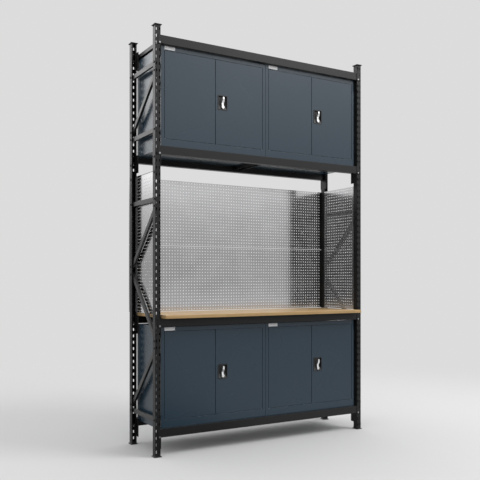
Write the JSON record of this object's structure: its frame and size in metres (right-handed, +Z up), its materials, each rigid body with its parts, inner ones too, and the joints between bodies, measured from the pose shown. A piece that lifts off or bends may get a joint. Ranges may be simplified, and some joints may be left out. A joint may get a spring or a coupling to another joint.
{
  "type": "rack storage workstation",
  "caption": "Free-standing bolted rack workstation with double-door lock cabinets below and above a timber worktop, and perforated back and side panels.",
  "frame": {"origin": "on the floor, under the centre of the bounding box", "axes": "+X to the right seen from the front, +Y to the back, +Z up"},
  "size_m": [1.924, 0.588, 3.125],
  "materials": {
    "frame_paint": "satin powder coat",
    "beam_paint": "satin powder coat",
    "brace_paint": "satin powder coat",
    "foot_plastic": "moulded black plastic",
    "upper_cabinet_paint": "slate satin powder coat",
    "lower_cabinet_paint": "slate satin powder coat",
    "timber": "oiled light timber",
    "panel_steel": "semi-gloss perforated sheet",
    "zinc": "bright zinc plate",
    "lever_chrome": "bright chrome",
    "housing_plastic": "moulded black plastic"
  },
  "bodies": {
    "frame": {"post_lower_front_left": "frame_paint", "post_lower_front_right": "frame_paint", "post_lower_rear_left": "frame_paint", "post_lower_rear_right": "frame_paint", "post_upper_front_left": "frame_paint", "post_upper_front_right": "frame_paint", "post_upper_rear_left": "frame_paint", "post_upper_rear_right": "frame_paint", "post_splices": "frame_paint", "post_feet": "foot_plastic", "post_caps": "foot_plastic", "side_braces": "brace_paint", "frame_bolts": "frame_paint", "base_beam_front": "beam_paint", "base_beam_rear": "beam_paint", "worktop_beam_front": "beam_paint", "worktop_beam_rear": "beam_paint", "shelf_beam_front": "beam_paint", "shelf_beam_rear": "beam_paint", "top_beam_front": "beam_paint", "top_beam_rear": "beam_paint", "beam_connectors": "beam_paint", "beam_lock_bolts": "zinc", "cross_bars": "beam_paint", "worktop": "timber", "back_panel_lower": "panel_steel", "back_panel_upper": "panel_steel", "side_panel_left": "panel_steel", "side_panel_right": "panel_steel", "panel_screws": "zinc", "hinge_pins": "zinc", "cabinet_shelves": "lower_cabinet_paint", "shell_lower_left": "lower_cabinet_paint", "shell_lower_right": "lower_cabinet_paint", "shell_upper_left": "upper_cabinet_paint", "shell_upper_right": "upper_cabinet_paint"},
    "left_door_lower_left": {"left_door_lower_left": "lower_cabinet_paint"},
    "right_door_lower_left": {"right_door_lower_left": "lower_cabinet_paint", "handle_housing_lower_left": "housing_plastic"},
    "lever_lower_left": {"handle_lever_lower_left": "lever_chrome"},
    "top_rod_lower_left": {"top_rod_lower_left": "zinc"},
    "bottom_rod_lower_left": {"bottom_rod_lower_left": "zinc"},
    "left_door_lower_right": {"left_door_lower_right": "lower_cabinet_paint"},
    "right_door_lower_right": {"right_door_lower_right": "lower_cabinet_paint", "handle_housing_lower_right": "housing_plastic"},
    "lever_lower_right": {"handle_lever_lower_right": "lever_chrome"},
    "top_rod_lower_right": {"top_rod_lower_right": "zinc"},
    "bottom_rod_lower_right": {"bottom_rod_lower_right": "zinc"},
    "left_door_upper_left": {"left_door_upper_left": "upper_cabinet_paint"},
    "right_door_upper_left": {"right_door_upper_left": "upper_cabinet_paint", "handle_housing_upper_left": "housing_plastic"},
    "lever_upper_left": {"handle_lever_upper_left": "lever_chrome"},
    "top_rod_upper_left": {"top_rod_upper_left": "zinc"},
    "bottom_rod_upper_left": {"bottom_rod_upper_left": "zinc"},
    "left_door_upper_right": {"left_door_upper_right": "upper_cabinet_paint"},
    "right_door_upper_right": {"right_door_upper_right": "upper_cabinet_paint", "handle_housing_upper_right": "housing_plastic"},
    "lever_upper_right": {"handle_lever_upper_right": "lever_chrome"},
    "top_rod_upper_right": {"top_rod_upper_right": "zinc"},
    "bottom_rod_upper_right": {"bottom_rod_upper_right": "zinc"}
  },
  "joints": [
    {"name": "left_door_hinge_lower_left", "type": "hinge", "parent": "frame", "child": "left_door_lower_left", "pos_m": [-0.8663, -0.1965, 0.581], "axis": [0, 0, -1], "range_deg": [0, 90]},
    {"name": "right_door_hinge_lower_left", "type": "hinge", "parent": "frame", "child": "right_door_lower_left", "pos_m": [-0.0337, -0.1965, 0.581], "axis": [0, 0, 1], "range_deg": [0, 90]},
    {"name": "lever_turn_lower_left", "type": "hinge", "parent": "right_door_lower_left", "child": "lever_lower_left", "pos_m": [-0.3877, -0.201, 0.548], "axis": [0, 1, 0], "range_deg": [0, 90]},
    {"name": "top_rod_slide_lower_left", "type": "slide", "parent": "right_door_lower_left", "child": "top_rod_lower_left", "axis": [0, 0, 1], "range_m": [0, 0.01415]},
    {"name": "bottom_rod_slide_lower_left", "type": "slide", "parent": "right_door_lower_left", "child": "bottom_rod_lower_left", "axis": [0, 0, -1], "range_m": [0, 0.01415]},
    {"name": "left_door_hinge_lower_right", "type": "hinge", "parent": "frame", "child": "left_door_lower_right", "pos_m": [0.0337, -0.1965, 0.581], "axis": [0, 0, -1], "range_deg": [0, 90]},
    {"name": "right_door_hinge_lower_right", "type": "hinge", "parent": "frame", "child": "right_door_lower_right", "pos_m": [0.8663, -0.1965, 0.581], "axis": [0, 0, 1], "range_deg": [0, 90]},
    {"name": "lever_turn_lower_right", "type": "hinge", "parent": "right_door_lower_right", "child": "lever_lower_right", "pos_m": [0.5123, -0.201, 0.548], "axis": [0, 1, 0], "range_deg": [0, 90]},
    {"name": "top_rod_slide_lower_right", "type": "slide", "parent": "right_door_lower_right", "child": "top_rod_lower_right", "axis": [0, 0, 1], "range_m": [0, 0.01415]},
    {"name": "bottom_rod_slide_lower_right", "type": "slide", "parent": "right_door_lower_right", "child": "bottom_rod_lower_right", "axis": [0, 0, -1], "range_m": [0, 0.01415]},
    {"name": "left_door_hinge_upper_left", "type": "hinge", "parent": "frame", "child": "left_door_upper_left", "pos_m": [-0.8663, -0.1965, 2.631], "axis": [0, 0, -1], "range_deg": [0, 90]},
    {"name": "right_door_hinge_upper_left", "type": "hinge", "parent": "frame", "child": "right_door_upper_left", "pos_m": [-0.0337, -0.1965, 2.631], "axis": [0, 0, 1], "range_deg": [0, 90]},
    {"name": "lever_turn_upper_left", "type": "hinge", "parent": "right_door_upper_left", "child": "lever_upper_left", "pos_m": [-0.3877, -0.201, 2.598], "axis": [0, 1, 0], "range_deg": [0, 90]},
    {"name": "top_rod_slide_upper_left", "type": "slide", "parent": "right_door_upper_left", "child": "top_rod_upper_left", "axis": [0, 0, 1], "range_m": [0, 0.01415]},
    {"name": "bottom_rod_slide_upper_left", "type": "slide", "parent": "right_door_upper_left", "child": "bottom_rod_upper_left", "axis": [0, 0, -1], "range_m": [0, 0.01415]},
    {"name": "left_door_hinge_upper_right", "type": "hinge", "parent": "frame", "child": "left_door_upper_right", "pos_m": [0.0337, -0.1965, 2.631], "axis": [0, 0, -1], "range_deg": [0, 90]},
    {"name": "right_door_hinge_upper_right", "type": "hinge", "parent": "frame", "child": "right_door_upper_right", "pos_m": [0.8663, -0.1965, 2.631], "axis": [0, 0, 1], "range_deg": [0, 90]},
    {"name": "lever_turn_upper_right", "type": "hinge", "parent": "right_door_upper_right", "child": "lever_upper_right", "pos_m": [0.5123, -0.201, 2.598], "axis": [0, 1, 0], "range_deg": [0, 90]},
    {"name": "top_rod_slide_upper_right", "type": "slide", "parent": "right_door_upper_right", "child": "top_rod_upper_right", "axis": [0, 0, 1], "range_m": [0, 0.01415]},
    {"name": "bottom_rod_slide_upper_right", "type": "slide", "parent": "right_door_upper_right", "child": "bottom_rod_upper_right", "axis": [0, 0, -1], "range_m": [0, 0.01415]}
  ],
  "couplings": [
    {"joint": "top_rod_slide_lower_left", "follows": "lever_turn_lower_left", "m_per_rad": 0.0090032},
    {"joint": "bottom_rod_slide_lower_left", "follows": "lever_turn_lower_left", "m_per_rad": 0.0090032},
    {"joint": "top_rod_slide_lower_right", "follows": "lever_turn_lower_right", "m_per_rad": 0.0090032},
    {"joint": "bottom_rod_slide_lower_right", "follows": "lever_turn_lower_right", "m_per_rad": 0.0090032},
    {"joint": "top_rod_slide_upper_left", "follows": "lever_turn_upper_left", "m_per_rad": 0.0090032},
    {"joint": "bottom_rod_slide_upper_left", "follows": "lever_turn_upper_left", "m_per_rad": 0.0090032},
    {"joint": "top_rod_slide_upper_right", "follows": "lever_turn_upper_right", "m_per_rad": 0.0090032},
    {"joint": "bottom_rod_slide_upper_right", "follows": "lever_turn_upper_right", "m_per_rad": 0.0090032}
  ]
}
